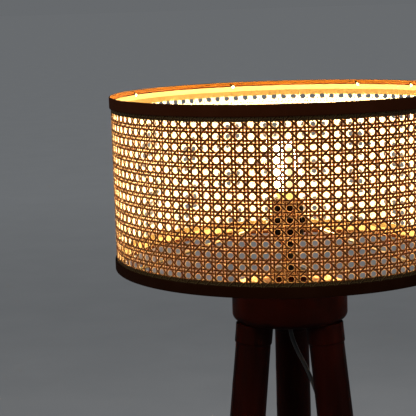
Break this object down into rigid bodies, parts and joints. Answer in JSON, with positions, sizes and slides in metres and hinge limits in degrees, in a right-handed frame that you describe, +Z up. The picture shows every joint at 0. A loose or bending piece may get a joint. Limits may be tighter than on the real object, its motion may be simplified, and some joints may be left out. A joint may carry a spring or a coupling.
{
  "type": "tripod floor lamp",
  "caption": "Floor lamp with turned wooden tripod legs under a round hub, and a cane-webbing drum shade with dark taped rims around a screw-in bulb.",
  "frame": {"origin": "on the floor, under the centre of the shade and hub", "axes": "+Z up; -Y is the front, towards the viewer; +X to the viewer's right, where the cord runs down the right leg"},
  "size_m": [0.4099, 0.41, 1.52],
  "materials": {
    "mahogany": "dark stained mahogany, semi-gloss lacquer with fine open grain",
    "tape": "dark brown ribbed cotton tape",
    "cane": "natural split cane, smooth rounded face",
    "frame_wire": "white powder coat",
    "steel": "plain turned steel",
    "zinc": "zinc plated",
    "brass": "plain brass",
    "black_metal": "satin black enamel",
    "phenolic": "dark moulded phenolic, slightly glossy",
    "ceramic": "white moulded insulating block",
    "bulb_glass": "clear amber-tinted glass",
    "filament": "warm yellow filament sticks, lit",
    "bulb_nickel": "nickel plated cap",
    "black_rubber": "matte black rubber",
    "cord_black": "matte black flexible cord jacket",
    "switch_plastic": "fine-textured black plastic"
  },
  "bodies": {
    "lamp": {"hub_disc": "mahogany", "hub_boss": "mahogany", "leg_left": "mahogany", "leg_right": "mahogany", "leg_back": "mahogany", "leg_inserts": "brass", "leg_studs": "steel", "foot_pads": "black_rubber", "stem_pipe": "steel", "stem_sleeve": "black_metal", "stem_nut": "zinc", "stem_washer": "zinc", "cord_relief": "black_rubber", "inner_lead": "cord_black", "holder_dome": "phenolic", "holder_skirt": "phenolic", "holder_carrier": "ceramic", "holder_thread": "brass", "holder_contact": "brass", "holder_side_contact": "brass", "holder_terminals": "steel", "shade_nut": "phenolic", "shade_seat": "phenolic", "fitter_ring": "frame_wire", "spider_arms": "frame_wire", "rim_wire_top": "frame_wire", "rim_wire_bottom": "frame_wire", "tape_top": "tape", "tape_bottom": "tape", "lining_top": "tape", "lining_bottom": "tape", "cane_uprights": "cane", "cane_hoops": "cane", "cane_diagonals_outer": "cane", "cane_diagonals_inner": "cane", "cord": "cord_black", "cord_coil": "cord_black", "cord_clips": "switch_plastic", "switch_base": "switch_plastic", "switch_cover": "switch_plastic", "switch_spring": "zinc", "switch_reliefs": "black_rubber", "switch_screws": "zinc", "plug_body": "switch_plastic", "plug_pins": "bulb_nickel", "plug_sleeves": "switch_plastic", "plug_relief": "black_rubber"},
    "bulb_carriage": {"bulb_insulator": "phenolic", "bulb_tip": "zinc"},
    "bulb": {"bulb_cap": "bulb_nickel", "bulb_glass": "bulb_glass", "bulb_stem": "bulb_glass", "bulb_filaments": "filament", "bulb_leads": "steel"},
    "switch_button": {"switch_button": "switch_plastic"}
  },
  "joints": [
    {"name": "bulb_lift", "type": "slide", "parent": "lamp", "child": "bulb_carriage", "axis": [0, 0, 1], "range_m": [0, 0.011]},
    {"name": "bulb_turn", "type": "hinge", "parent": "bulb_carriage", "child": "bulb", "pos_m": [0, 0, 1.37], "axis": [0, 0, 1], "range_deg": [0, 1080]},
    {"name": "switch_press", "type": "slide", "parent": "lamp", "child": "switch_button", "axis": [0, 0, -1], "range_m": [0, 0.003], "stiffness_N_per_m": 600, "springref_m": -0.002, "deforming": ["switch_spring"]}
  ],
  "couplings": [
    {"joint": "bulb_lift", "follows": "bulb_turn", "m_per_rad": 0.0005777}
  ]
}
